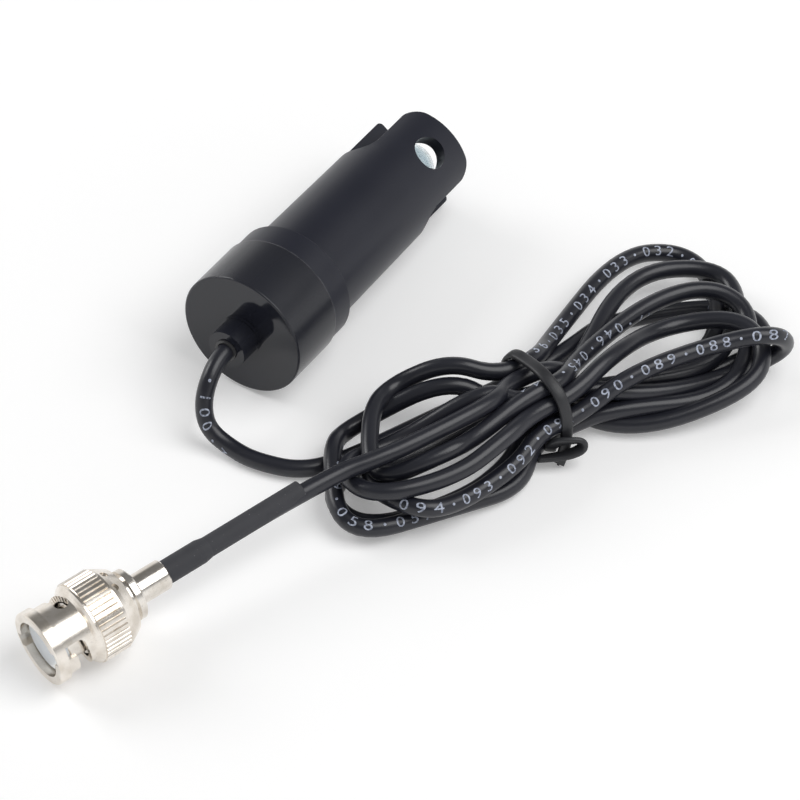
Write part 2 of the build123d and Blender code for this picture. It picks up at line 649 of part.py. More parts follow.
def lead_tube(name, points):
    """A round lead along straight runs joined by arcs as large as the runs allow."""
    corners = [Vector(*point) for point in points]
    radii = []
    for before, corner, after in zip(corners, corners[1:], corners[2:]):
        turn = (corner - before).get_angle(after - corner)
        shorter = min((corner - before).length, (after - corner).length)
        radii.append(TUBE_SHARE * shorter / math.tan(math.radians(turn / 2)))
    path = FilletPolyline(*corners, radius=radii)
    start = Plane(origin=path @ 0, z_dir=path % 0)
    solid = sweep(start * Circle(LEAD_RADIUS), path=path)
    section = math.pi * LEAD_RADIUS ** 2
    print(name, "radii", [round(radius, 1) for radius in radii], "length", round(path.length, 1),
          "volume ratio", round(solid.volume / (section * path.length), 4))
    return solid


def make_near_lead():
    inside = electrode_point(-LEAD_IN_BOSS)
    outside = electrode_point(-LEAD_EXIT)
    return lead_tube("near lead", [inside, outside] + NEAR_ROUTE)


FERRULE_START = REAR_FLANGE_START + REAR_FLANGE_LENGTH
SHRINK_START = FERRULE_START + SEAT_CLEARANCE + FERRULE_LENGTH


def make_far_lead():
    inside = plug_point(FERRULE_START + CRIMP_STEM_LENGTH + LEAD_END_GAP)
    return lead_tube("far lead", [inside, plug_point(FAR_BEND)] + FAR_ROUTE)


def make_shrink_sleeve():
    thick = LEAD_RADIUS + SHRINK_WALL_THICK
    thin = LEAD_RADIUS + SHRINK_WALL_THIN
    step = SHRINK_START + SHRINK_STEP
    end = SHRINK_START + SHRINK_LENGTH
    return turned([
        (LEAD_RADIUS, SHRINK_START), (thick, SHRINK_START), (thick, step), (thin, step + SHRINK_RAMP),
        (thin, end), (LEAD_RADIUS, end),
    ])


def place_hank(solid):
    """Turn a piece from the hank's own frame, long side on +Y, to its place on the bench."""
    return Pos(HANK_X, HANK_Y, 0) * Rot(0, 0, -HANK_HEADING) * solid


WAIST_RADIUS = (WAIST_RIGHT - WAIST_LEFT) / 2
WAIST_MIDDLE = (WAIST_RIGHT + WAIST_LEFT) / 2
WAIST_FOOT = TIE_THICKNESS + TIE_CLEARANCE
LEFT_CIRCLES = [(-4.5, -31.0, 9.5), (-4.0, -14.0, 14.0)]
RIGHT_CIRCLES = [(-1.0, 22.0, 13.5), (4.0, 40.5, 10.0), (-12.5, 39.5, 10.0)]


def make_lobe(circles):
    """A flat lobe of the hank: the hull of the waist and the circles of its loops."""
    edges = Circle(WAIST_RADIUS).moved(Location((WAIST_MIDDLE, 0, 0))).edges()
    for across, along, radius in circles:
        edges += Circle(radius).moved(Location((across, along, 0))).edges()
    return extrude(make_hull(edges), HANK_HEIGHT)


def make_waist_section(margin):
    width = WAIST_RIGHT - WAIST_LEFT + 2 * margin
    height = WAIST_HEIGHT - WAIST_FOOT + 2 * margin
    outline = RectangleRounded(width, height, height * WAIST_ROUNDING)
    return Plane.XZ * Pos(WAIST_MIDDLE, WAIST_FOOT - margin + height / 2, 0) * outline


def make_hank():
    """Outer shape of the wound lead: two flat lobes and the thicker tied waist."""
    hank = make_lobe(LEFT_CIRCLES) + make_lobe(RIGHT_CIRCLES)
    channel = TIE_WIDTH + 2 * TIE_CLEARANCE
    hank -= Pos(0, TIE_PLACE, 0) * Box(8 * WAIST_RADIUS, channel, 4 * WAIST_HEIGHT)
    hank += extrude(make_waist_section(0), WAIST_HALF_LENGTH, both=True)
    return hank


def make_tie():
    """Flat coated wire tie: a band round the waist and its two ends twisted together."""
    band = make_waist_section(TIE_CLEARANCE + TIE_THICKNESS) - make_waist_section(TIE_CLEARANCE)
    tie = Pos(0, TIE_PLACE, 0) * extrude(band, TIE_WIDTH / 2, both=True)
    start = Vector(WAIST_RIGHT + TIE_THICKNESS / 2, TIE_PLACE, TAIL_HEIGHT)
    way = Vector(*TAIL_WAY).normalized()
    sections = []
    for number in range(TAIL_STEPS + 1):
        share = number / TAIL_STEPS
        plane = Plane(origin=start + way * TAIL_LENGTH * share, z_dir=way, x_dir=(0, 0, 1))
        turned_plane = plane.rotated((0, 0, 360 * TAIL_TURNS * share))
        sections.append(turned_plane * Rectangle(TAIL_WIDTH, 2 * TIE_THICKNESS))
    return tie + loft(sections, ruled=True)


def save(name, solid):
    export_step(solid, "parts/" + name + ".step")


def main():
    electrode = {
        "end_cap": make_end_cap(),
        "guard_body": make_guard_body(),
        "glass_cell": make_glass_cell(),
        "cell_stopper": make_stopper(),
        "silver_wire": make_silver_wire(),
        "reference_wire": make_reference_wire(),
        "lead_core": make_core(),
        "lead_dielectric": make_dielectric(),
        "lead_braid": make_braid(),
        "joint_shroud": make_joint_shroud(),
        "rear_seal": make_rear_seal(),
        "reference_junction": make_junction(),
        "front_seal": make_front_seal(),
        "cap_ring": make_cap_ring(),
        "potting": make_potting(),
        "boss_glue": make_boss_glue(),
    }
    for name, solid in electrode.items():
        save(name, lay_electrode(solid))
    plug = {
        "coupling_ring": Rot(0, 0, RING_ROLL) * make_coupling_ring(),
        "thrust_washer": make_thrust_washer(),
        "wave_washer": make_wave_washer(),
        "plug_body": make_plug_body(),
        "outer_contact": make_outer_contact(),
        "insulator": make_insulator(),
        "centre_pin": make_centre_pin(),
        "face_gasket": make_gasket(),
        "dust_plug": make_dust_plug(),
        "plug_core": make_plug_core(),
        "plug_dielectric": make_plug_dielectric(),
        "crimp_ferrule": make_ferrule(),
        "shrink_sleeve": make_shrink_sleeve(),
    }
    for name, solid in plug.items():
        save(name, lay_plug(solid))
    save("near_lead", make_near_lead())
    save("far_lead", make_far_lead())
    save("lead_hank", place_hank(make_hank()))
    save("twist_tie", place_hank(make_tie()))


main()
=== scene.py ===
# %% [markdown]
# # A pH electrode with its lead and bayonet plug
#
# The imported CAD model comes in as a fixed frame: every solid already has its true size and place.
# This script adds what only shows in a picture: the finishes, the real lead with its tied turns,
# the length marks on the lead, the wire tie, the light and the camera.

# %% Load the frame
import math
from bisect import bisect_right
import bpy
from mathutils import Matrix, Vector


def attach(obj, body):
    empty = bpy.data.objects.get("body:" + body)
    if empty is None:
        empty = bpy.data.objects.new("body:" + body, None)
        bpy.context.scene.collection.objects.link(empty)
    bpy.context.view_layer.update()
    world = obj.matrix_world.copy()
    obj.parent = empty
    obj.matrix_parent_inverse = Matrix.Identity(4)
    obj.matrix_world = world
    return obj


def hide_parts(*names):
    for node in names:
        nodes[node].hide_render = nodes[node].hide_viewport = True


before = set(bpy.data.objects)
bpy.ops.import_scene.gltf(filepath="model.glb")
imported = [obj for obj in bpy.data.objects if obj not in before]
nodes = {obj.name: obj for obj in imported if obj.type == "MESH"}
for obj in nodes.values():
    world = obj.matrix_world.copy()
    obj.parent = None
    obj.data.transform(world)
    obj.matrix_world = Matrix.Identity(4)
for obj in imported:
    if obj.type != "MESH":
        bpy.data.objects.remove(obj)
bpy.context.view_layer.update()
MM = 0.001
CENTIMETRES = 100  # in a metre
ROOT = "electrode"

# %% [markdown]
# ## The camera
#
# The photograph was taken from above and to one side with a long lens, so parallel edges stay
# almost parallel. The camera is placed by its look point on the bench, its direction and its
# distance. The width of the view at the look point gives the lens.

# %% Camera
LOOK_AT = Vector((24.03, -14.70, 0)) * MM
LOOK_WAY = Vector((-0.37811, 0.59650, -0.70797)).normalized()
DISTANCE = 0.800
VIEW_WIDTH = 0.13378
SENSOR = 36.0

camera_data = bpy.data.cameras.new("camera")
camera_data.sensor_width = SENSOR
camera_data.lens = SENSOR * DISTANCE / VIEW_WIDTH
camera_data.clip_start = 0.01
camera_data.clip_end = 20
camera = bpy.data.objects.new("camera", camera_data)
bpy.context.scene.collection.objects.link(camera)
camera.location = LOOK_AT - LOOK_WAY * DISTANCE
camera.rotation_euler = LOOK_WAY.to_track_quat("-Z", "Y").to_euler()
bpy.context.scene.camera = camera
print("lens", round(camera_data.lens, 1), "mm")

# %% [markdown]
# ## The lead's line
#
# A lead is one length of something flexible. Its line is one smooth NURBS curve. The two free
# ends are routed point by point. The tied turns in the middle run through a loop of code:
# each half turn is six points on one side of the tie, and two points carry each strand through the
# tie. The turns fan out where nothing ties them, so each has its own size.

# %% Sizes of the lead and the frame of the tied hank
# Lengths are in millimetres, apart from the lead's own length in metres.
LEAD_DIAMETER = 3.0
HANK_PLACE = Vector((46.0, -9.0, 0))
HANK_HEADING = math.radians(25)
TIE_PLACE = 1.0  # along the hank
TIE_REACH = 4.0  # how far from the tie a strand's two points lie


def from_hank(across, along, height):
    """A point given in the hank's own frame, as a point of the model in millimetres."""
    turned = Matrix.Rotation(-HANK_HEADING, 3, "Z") @ Vector((across, along, height))
    return turned + HANK_PLACE


print("tie at", tuple(round(v, 1) for v in from_hank(0, TIE_PLACE, 0)), "mm")

# %% The two free ends, in millimetres
NEAR_END = [
    (0, -26.92, 12.02), (0, -32.41, 12.28), (0.5, -36.6, 10.6), (1.1, -39.3, 7.2),
    (2.9, -40.5, 3.6), (7.6, -40.5, 1.6), (12.4, -40.8, 1.6), (19.9, -38.8, 1.6),
    (24.6, -32.9, 1.6),
]
FAR_END = [
    (43.9, -16.6, 12.2), (39.8, -27.5, 12.3), (34.8, -37, 11.5), (28.92, -44.6, 10.5),
    (17.31, -75.66, 8.17),
]
print("free ends", len(NEAR_END), "and", len(FAR_END), "points")

# %% Where each strand passes the tie: across and height, in the order of the lead's run
STRANDS = {
    "near_r6": (-7.4, 4.3), "r6_le": (2.3, 2.5), "le_r1": (-5, 2.5), "r1_lb": (-5.7, 9.4),
    "lb_r3": (2.5, 11.2), "r3_la": (5.2, 3), "la_r4": (-1.4, 2.5), "r4_lg": (4.8, 9.5),
    "lg_r5": (1, 8.6), "r5_ld": (6.7, 6.5), "ld_r2": (-0.1, 5.7), "r2_far": (-3, 9.5),
}
print("strands through the tie", len(STRANDS))

# %% The half turns on each side of the tie: across, along and height
# Each runs from the strand on its left round its far side to the strand on its right.
RIGHT = {
    "r6": [(-9.2, 14, 3.9), (-13.3, 24.5, 1.6), (-4.8, 45.7, 1.6),
           (7, 45.4, 1.7), (6.7, 28.8, 1.6), (6.4, 18.1, 3.1)],
    "r1": [(-11.3, 11.2, 5.2), (-23.1, 33.1, 4.4), (-20.7, 44.7, 1.9),
           (-11.3, 45.6, 1.6), (4.4, 35.1, 3.4), (3.5, 15.1, 1.6)],
    "r3": [(-2.1, 10, 8.7), (-8, 28.7, 8.1), (-5.8, 40.9, 7.7),
           (2.8, 43.9, 5.5), (15, 30.7, 3.3), (7, 10.6, 4.8)],
    "r4": [(2.1, 14.6, 11.5), (-3.2, 27.8, 6.5), (2.9, 39.1, 8.4),
           (10.4, 40.6, 7), (16.7, 33.3, 5.6), (11.4, 13, 1.6)],
    "r5": [(6.7, 15.6, 10.6), (9.4, 32.1, 11.4), (13.7, 40.1, 12.6),
           (11.3, 44.7, 4.9), (9, 35.9, 1.6), (9.2, 19.2, 5.2)],
    "r2": [(-2.2, 10.1, 5.6), (-18.1, 31.3, 5.3), (-11.9, 46.6, 4.3),
           (-1.6, 44.4, 3.7), (7.8, 32, 3.9), (4.4, 17.2, 5.6)],
}
LEFT = {
    "le": [(-6.2, -8.4, 1.6), (-6.3, -16.6, 1.8), (-6.9, -36.8, 1.6),
           (5.8, -37.5, 1.6), (8.9, -19.1, 1.6), (6.2, -8.3, 1.6)],
    "lb": [(-11, -9.1, 11.7), (-15.5, -17.3, 6.8), (-11, -24.7, 8.4),
           (2.3, -32.8, 6.9), (6.5, -20.6, 11.6), (4.4, -13.7, 9.5)],
    "la": [(-8.8, -9.1, 10.8), (-14.6, -26.6, 2.5), (-9.3, -33.6, 5.9),
           (7, -41.5, 3), (10.4, -20.9, 2.7), (11.5, -9.6, 1.6)],
    "lg": [(-1.7, -7.9, 12.7), (-5.8, -23.3, 3.9), (-5.5, -34.5, 6.3),
           (6.1, -35.9, 9), (9.9, -21.3, 9), (7.8, -9.7, 10.5)],
    "ld": [(-2.5, -9.8, 3.7), (-4, -19.3, 1.6), (-2.9, -32.7, 4.2),
           (11.6, -29.8, 7.2), (11.9, -21.2, 4.9), (10, -9.1, 5.5)],
}
print("half turns", len(RIGHT), "right of the tie,", len(LEFT), "left of it")

# %% A strand through the tie


def waist_points(strand, upwards):
    """Two points that carry a strand through the tie."""
    across, height = STRANDS[strand]
    places = (TIE_PLACE - TIE_REACH, TIE_PLACE + TIE_REACH)
    if not upwards:
        places = places[::-1]
    return [(across, place, height) for place in places]


print("first strand", waist_points("near_r6", True))

# %% The order in which the lead runs through the half turns
# Each row gives a half turn, the strand that leaves it, and whether the lead enters it from the
# right.
RUN = [
    ("r6", "r6_le", False), ("le", "le_r1", True), ("r1", "r1_lb", True), ("lb", "lb_r3", False),
    ("r3", "r3_la", False), ("la", "la_r4", True), ("r4", "r4_lg", True), ("lg", "lg_r5", True),
    ("r5", "r5_ld", True), ("ld", "ld_r2", True), ("r2", "r2_far", True),
]
UNDER_LOBE = [(-9.2, -20.2, 1.9), (-9.6, -12.5, 1.6)]

route = [Vector(point) for point in NEAR_END]
route += [from_hank(*point) for point in UNDER_LOBE]
route += [from_hank(*point) for point in waist_points("near_r6", True)]
for name, out_of, from_right in RUN:
    points = RIGHT[name] if name in RIGHT else LEFT[name]
    if from_right:
        points = points[::-1]
    route += [from_hank(*point) for point in points]
    route += [from_hank(*point) for point in waist_points(out_of, name not in RIGHT)]
route += [Vector(point) for point in FAR_END]
print("control points", len(route))

# %% [markdown]
# ## A smooth line from control points
#
# Blender's NURBS spline gives a smooth line through the middle of its control points. It is read
# back as plain points, so a tube, a strap or a row of marks can follow it exactly.

# %% Points of a NURBS line
SHORTEST_STEP = 0.02  # points closer than this, in millimetres, count as one


def smooth_line(name, control, fineness):
    """Points along an open NURBS curve; the control points are in millimetres."""
    curve = bpy.data.curves.new(name, "CURVE")
    curve.dimensions = "3D"
    curve.resolution_u = fineness
    spline = curve.splines.new("NURBS")
    spline.points.add(len(control) - 1)
    for place, point in zip(spline.points, control):
        place.co = (*(point * MM), 1)
    spline.order_u = 3
    spline.use_endpoint_u = True
    line = bpy.data.objects.new(name, curve)
    bpy.context.scene.collection.objects.link(line)
    view = bpy.context.evaluated_depsgraph_get()
    mesh = bpy.data.meshes.new_from_object(line.evaluated_get(view))
    points = [vertex.co.copy() for vertex in mesh.vertices]
    bpy.data.objects.remove(line)
    bpy.data.meshes.remove(mesh)
    kept = [points[0]]
    for point in points[1:]:
        if (point - kept[-1]).length > SHORTEST_STEP * MM:
            kept.append(point)
    return kept


line_points = smooth_line("lead_line", route, 10)
steps = [(b - a).length for a, b in zip(line_points, line_points[1:])]
lowest = min(point.z for point in line_points) / MM
print("line", len(line_points), "points,", round(sum(steps), 4), "m")
print("lowest", round(lowest, 2), "mm")

# %% [markdown]
# ## The lead's skin
#
# The jacket is a round tube along that line. Rings of points are carried along the line without
# twisting, and joined to a mesh. Its own UV map holds the length along the lead and the angle
# round it, so a finish can follow the lead through every turn.

# %% Frames along a line


def carried_frames(points, start_side):
    """Length, point, direction and a sideways axis at each point, carried along without a twist."""
    found = []
    length = 0.0
    way = (points[1] - points[0]).normalized()
    side = start_side
    for number, point in enumerate(points):
        if number:
            length += (point - points[number - 1]).length
        ahead = points[min(number + 1, len(points) - 1)]
        behind = points[max(number - 1, 0)]
        new_way = (ahead - behind).normalized()
        side = way.rotation_difference(new_way) @ side
        side = (side - new_way * side.dot(new_way)).normalized()
        way = new_way
        found.append((length, point, way, side))
    return found


frames = carried_frames(line_points, Vector((1, 0, 0)))
print("lead", round(frames[-1][0], 4), "m")

# %% The jacket, a skin swept along the frames
RING_SIDES = 18


def swept(name, path_frames, section):
    """A closed skin with the section's corners, in millimetres, at every frame of the path."""
    sides = len(section)
    vertices = []
    faces = []
    corner_uvs = []
    for _, point, way, side in path_frames:
        other = way.cross(side)
        vertices += [point + (side * wide + other * thick) * MM for wide, thick in section]
    for ring in range(len(path_frames) - 1):
        start, end = (path_frames[place][0] * CENTIMETRES for place in (ring, ring + 1))
        for corner in range(sides):
            a = ring * sides + corner
            b = ring * sides + (corner + 1) % sides
            faces.append((a, b, b + sides, a + sides))
            low, high = corner / sides, (corner + 1) / sides
            corner_uvs += [(start, low), (start, high), (end, high), (end, low)]
    faces.append(tuple(range(sides))[::-1])
    faces.append(tuple(range(len(vertices) - sides, len(vertices))))
    mesh = bpy.data.meshes.new(name)
    mesh.from_pydata(vertices, [], faces)
    uv_layer = mesh.uv_layers.new(name="along")
    for number, place in enumerate(corner_uvs):
        uv_layer.data[number].uv = place
    mesh.polygons.foreach_set("use_smooth", [len(face) == 4 for face in faces])
    piece = bpy.data.objects.new(name, mesh)
    bpy.context.scene.collection.objects.link(piece)
    return piece


lead_radius = LEAD_DIAMETER / 2
ring_angles = [2 * math.pi * corner / RING_SIDES for corner in range(RING_SIDES)]
ring = [(math.cos(angle) * lead_radius, math.sin(angle) * lead_radius) for angle in ring_angles]
jacket = swept("lead_jacket", frames, ring)
print("tube", len(jacket.data.polygons), "faces")

# %% [markdown]
# ## Length marks on the lead
#
# The real lead has a line of print along it. Here the print is plain: the centimetres from the
# electrode, with dots between them. Ten digits are made once, from Blender's own font, and cut
# finer so that they bend. They are then laid on the round jacket, three to each number.

# %% Ten digits and a dot as flat meshes
DIGIT_HEIGHT = 1.8
DIGIT_WIDEN = 1.2
DIGIT_PITCH = 2.4
DOT_SIZE = 0.5
DOT_CORNERS = 12


def flat_shape(piece, height, widen):
    """The centred corners and the faces of a flat piece, which is then removed."""
    places = [vertex.co.xy for vertex in piece.data.vertices]
    low = Vector([min(place[axis] for place in places) for axis in range(2)])
    high = Vector([max(place[axis] for place in places) for axis in range(2)])
    grow = height / (high.y - low.y)
    middle = (low + high) / 2
    corners = [((place.x - middle.x) * grow * widen, (place.y - middle.y) * grow)
               for place in places]
    faces = [tuple(face.vertices) for face in piece.data.polygons]
    bpy.data.objects.remove(piece)
    return corners, faces


shapes = {}
for character in "0123456789":
    bpy.ops.object.select_all(action="DESELECT")
    bpy.ops.object.text_add(location=(0, 0, 0))
    digit = bpy.context.object
    digit.data.body = character
    digit.data.resolution_u = 3
    bpy.ops.object.convert(target="MESH")
    bpy.ops.object.mode_set(mode="EDIT")
    bpy.ops.mesh.select_all(action="SELECT")
    bpy.ops.mesh.quads_convert_to_tris()
    bpy.ops.mesh.subdivide(number_cuts=2)
    bpy.ops.object.mode_set(mode="OBJECT")
    shapes[character] = flat_shape(bpy.context.object, DIGIT_HEIGHT, DIGIT_WIDEN)
bpy.ops.object.select_all(action="DESELECT")
bpy.ops.mesh.primitive_circle_add(vertices=DOT_CORNERS, radius=0.5, fill_type="TRIFAN")
shapes["dot"] = flat_shape(bpy.context.object, DOT_SIZE, 1.0)
print("shapes", {name: len(faces) for name, (corners, faces) in shapes.items()})

# %% Where the line of print runs round the lead
# The lead twists as it is wound, so the print comes up and goes under. Each pair is a place in
# centimetres and an angle in degrees.
PRINT_LINE = [
    (0.0, 64), (1.7, 64), (3.0, 240), (12.0, 250), (15.0, 165), (21.0, 170), (24.0, 250),
    (29.5, 250), (32.3, 362), (36.0, 378), (38.0, 500), (40.0, 560), (43.0, 620), (45.4, 788),
    (46.6, 789), (48.3, 960), (52.0, 914), (54.5, 900), (57.0, 734), (59.0, 760), (61.5, 975),
    (68.0, 960), (70.0, 922), (76.0, 922), (78.0, 990), (80.0, 1030), (86.0, 1030), (87.6, 970),
    (92.0, 976), (94.6, 960), (97.0, 892), (102.0, 890), (104.5, 825), (118.0, 815),
]
MARK_LIFT = 0.015
frame_lengths = [length for length, _, _, _ in frames]


def print_angle(length):
    """The angle round the lead at which the print's middle runs, in radians."""
    place = length * CENTIMETRES
    for (start, first), (end, last) in zip(PRINT_LINE, PRINT_LINE[1:]):
        if place <= end:
            share = (place - start) / (end - start)
            return math.radians(first + (last - first) * share)
    return math.radians(PRINT_LINE[-1][1])


def on_lead(length, aside):
    """A point of the jacket's surface, at a length and so far aside of the print's middle."""
    number = min(max(bisect_right(frame_lengths, length) - 1, 0), len(frames) - 2)
    start, point, way, side = frames[number]
    end, next_point, next_way, next_side = frames[number + 1]
    share = (length - start) / (end - start)
    point = point.lerp(next_point, share)
    way = way.lerp(next_way, share).normalized()
    side = side.lerp(next_side, share).normalized()
    angle = print_angle(length) + aside / lead_radius
    outwards = side * math.cos(angle) + way.cross(side) * math.sin(angle)
    return point + outwards * (lead_radius + MARK_LIFT) * MM


print("first dot at", tuple(round(v / MM, 1) for v in on_lead(0.01, 0)), "mm")

# %% Lay the marks on the lead
mark_vertices = []
mark_faces = []


def lay_mark(shape, length):
    """Adds one flat shape to the marks, centred at a length of the lead."""
    corners, faces = shapes[shape]
    first = len(mark_vertices)
    mark_vertices.extend(on_lead(length - x * MM, y) for x, y in corners)
    mark_faces.extend(tuple(first + corner for corner in face) for face in faces)


for centimetre in range(1, int(frames[-1][0] * CENTIMETRES)):
    lay_mark("dot", centimetre / CENTIMETRES)
    middle = (centimetre + 0.5) / CENTIMETRES
    for number, character in enumerate(f"{centimetre:03d}"):
        lay_mark(character, middle + (1 - number) * DIGIT_PITCH * MM)
marks_mesh = bpy.data.meshes.new("lead_marks")
marks_mesh.from_pydata(mark_vertices, [], mark_faces)
marks = bpy.data.objects.new("lead_marks", marks_mesh)
bpy.context.scene.collection.objects.link(marks)
print("marks", len(mark_faces), "faces")

# %% [markdown]
# ## The wire tie
#
# The hank is held by a flat coated wire. It goes once round the strands, its ends cross under the
# hank's edge and one is folded back. It is swept like the jacket, with a flat rounded section, and
# a steel wire shows at both cut ends.

# %% The tie's strap
TIE_WIDE = 2.1
TIE_THICK = 1.0
STRAP_CORNERS = 16
WIDE_POWER = 0.55  # under 1 makes the round section squarer
THICK_POWER = 0.7
TWIST_FROM = 0.80  # the share of the strap's length where it starts to turn over
TWIST = math.radians(75)
TIE_ROUTE = [
    (9.9, -1.0, 0.9), (9.3, 0.4, 2.2), (8.5, 1.4, 4.6), (8.1, 1.8, 7.2), (7.2, 1.8, 10.4),
    (5.4, 1.6, 12.6), (2.2, 1.3, 13.7), (-0.6, 1.3, 13.4), (-3.6, 1.4, 12.5), (-6.4, 1.0, 12.0),
    (-8.2, 0.8, 10.0), (-9.0, 0.7, 7.0), (-9.6, 0.7, 3.4), (-8.4, 0.7, 0.9), (-5.0, 0.6, 0.66),
    (0.0, 0.4, 0.66), (4.8, 0.1, 0.66), (6.9, -0.6, 1.5), (7.9, -1.4, 3.4), (8.8, -0.9, 5.1),
    (10.1, 1.2, 5.4), (10.9, 3.0, 5.1), (11.3, 2.9, 3.7), (10.7, 0.8, 2.9), (9.4, -1.6, 2.4),
    (8.0, -4.0, 2.1),
]


def squared(share, power):
    """A sine or cosine pushed outwards, so that a round section turns into a flat one."""
    return math.copysign(abs(share) ** power, share)


tie_line = smooth_line("tie_line", [from_hank(*point) for point in TIE_ROUTE], 8)
tie_frames = carried_frames(tie_line, (from_hank(0, 1, 0) - HANK_PLACE).normalized())
strap_section = []
for corner in range(STRAP_CORNERS):
    angle = 2 * math.pi * corner / STRAP_CORNERS
    wide = squared(math.cos(angle), WIDE_POWER) * TIE_WIDE / 2
    thick = squared(math.sin(angle), THICK_POWER) * TIE_THICK / 2
    strap_section.append((wide, thick))
strap_length = tie_frames[-1][0]
for number, (length, point, way, side) in enumerate(tie_frames):
    turned = max(0.0, length / strap_length - TWIST_FROM) / (1 - TWIST_FROM) * TWIST
    tie_frames[number] = (length, point, way, Matrix.Rotation(turned, 3, way) @ side)
tie_strap = swept("tie_strap", tie_frames, strap_section)
lowest = min(vertex.co.z for vertex in tie_strap.data.vertices) / MM
print("strap", round(strap_length, 4), "m, lowest", round(lowest, 2), "mm")

# %% The wire in the strap's cut ends
WIRE_RADIUS = 0.22
WIRE_SHOWS = 0.5
wires = []
for _, point, way, _ in (tie_frames[0], tie_frames[-1]):
    bpy.ops.object.select_all(action="DESELECT")
    bpy.ops.mesh.primitive_cylinder_add(
        vertices=16, radius=WIRE_RADIUS * MM, depth=WIRE_SHOWS * MM, location=point,
        rotation=way.to_track_quat("Z", "Y").to_euler())
    bpy.ops.object.transform_apply(location=True, rotation=True, scale=True)
    wires.append(bpy.context.object)
for wire in wires:
    wire.select_set(True)
bpy.ops.object.join()
tie_wire = bpy.context.object
tie_wire.name = "tie_wire"
bpy.ops.object.shade_smooth_by_angle(angle=math.radians(40))
print("wire ends", len(tie_wire.data.polygons), "faces")

# %% [markdown]
# ## Shader maths as plain expressions
#
# A finish is a few nodes wired to one shader. Writing the wiring as arithmetic keeps it readable:
# a Value wraps a socket, and adding or multiplying Values adds the Math nodes that do it.

# %% Value and Finish


class Value:
    """A socket of a node tree that can be used in arithmetic."""

    def __init__(self, finish, socket):
        self.finish = finish
        self.socket = socket

    def __add__(self, other):
        return self.finish.maths("ADD", self, other)

    def __sub__(self, other):
        return self.finish.maths("SUBTRACT", self, other)

    def __rsub__(self, other):
        return self.finish.maths("SUBTRACT", other, self)

    def __mul__(self, other):
        return self.finish.maths("MULTIPLY", self, other)

    __radd__ = __add__
    __rmul__ = __mul__


class Finish:
    """A material, and the calls that build its nodes."""

    def __init__(self, name, **sockets):
        self.material = bpy.data.materials.new(name)
        self.material.use_nodes = True
        self.tree = self.material.node_tree
        self.shader = self.tree.nodes["Principled BSDF"]
        self.set(**sockets)

    def put(self, socket, value):
        """Links a Value to a socket, or writes a plain value on it."""
        if isinstance(value, Value):
            self.tree.links.new(value.socket, socket)
        else:
            socket.default_value = value

    def set(self, **sockets):
        """Sets sockets of the shader; Base_Color stands for Base Color."""
        for name, value in sockets.items():
            self.put(self.shader.inputs[name.replace("_", " ")], value)

    def node(self, kind, settings, inputs, output=0):
        """Any node: its type, its settings, then values or links for its sockets."""
        made = self.tree.nodes.new("ShaderNode" + kind)
        for name, value in settings.items():
            setattr(made, name, value)
        for name, value in inputs.items():
            self.put(made.inputs[name], value)
        return Value(self, made.outputs[output])

    def maths(self, operation, first, second):
        """One Math node."""
        return self.node("Math", {"operation": operation}, {0: first, 1: second})

    def place(self):
        """The point of the surface, in metres."""
        return self.node("TexCoord", {}, {}, "Object")

    def dot(self, vector, axis):
        """How far a vector points along an axis."""
        sockets = {0: vector, 1: tuple(axis)}
        return self.node("VectorMath", {"operation": "DOT_PRODUCT"}, sockets, "Value")

    def along(self, axis, start):
        """Metres along an axis of the object from a start point."""
        return self.dot(self.place(), axis) - axis.dot(start)

    def noise(self, scale, detail=2.0, vector=None):
        """Soft noise with so many lumps a metre."""
        where = vector or self.place()
        return self.node("TexNoise", {}, {"Vector": where, "Scale": scale, "Detail": detail})

    def ramp(self, share, low, high):
        """0 below low, 1 above high, and a smooth change between."""
        sockets = {"Value": share, "From Min": low, "From Max": high}
        return self.node("MapRange", {"interpolation_type": "SMOOTHSTEP"}, sockets)

    def between(self, share, low, high):
        """A value that goes from low to high as share goes from 0 to 1."""
        return share * (high - low) + low

    def colours(self, share, first, second):
        """A colour from first to second; each is a colour or the result of another mix."""
        first, second = (
            tone if isinstance(tone, Value) else (*tone, 1) for tone in (first, second))
        return self.node("Mix", {"data_type": "RGBA"}, {0: share, 6: first, 7: second}, 2)

    def bump(self, height, distance, strength=0.5):
        """A relief of so many metres."""
        sockets = {"Height": height, "Distance": distance, "Strength": strength}
        return self.node("Bump", {}, sockets)


print("finish helpers ready")

# %% [markdown]
# ## Moulded black plastic
#
# The cap and the body are turned and moulded in black plastic. The cap's face is almost a mirror
# and shows the boss and the lead. The rest is satin, with a faint grain, soft changes of gloss,
# a few tiny chips of lighter dust, and edges that handling has rubbed a little paler.

# %% The electrode's axis
ELECTRODE_TILT = math.radians(2.672)
ELECTRODE_AXIS = Vector((0, math.cos(ELECTRODE_TILT), -math.sin(ELECTRODE_TILT)))
CAP_FACE = Vector((0, -25.922, 11.953)) * MM
print("axis", tuple(round(v, 4) for v in ELECTRODE_AXIS))


# %% Black plastic with dust and rubbed edges
RUBBED_WIDTH = (0.00006, 0.00032)
RUBBED_TONE = (0.11, 0.11, 0.12)
RUBBED_MOST = 0.55
DUST_TONE = (0.45, 0.46, 0.48)


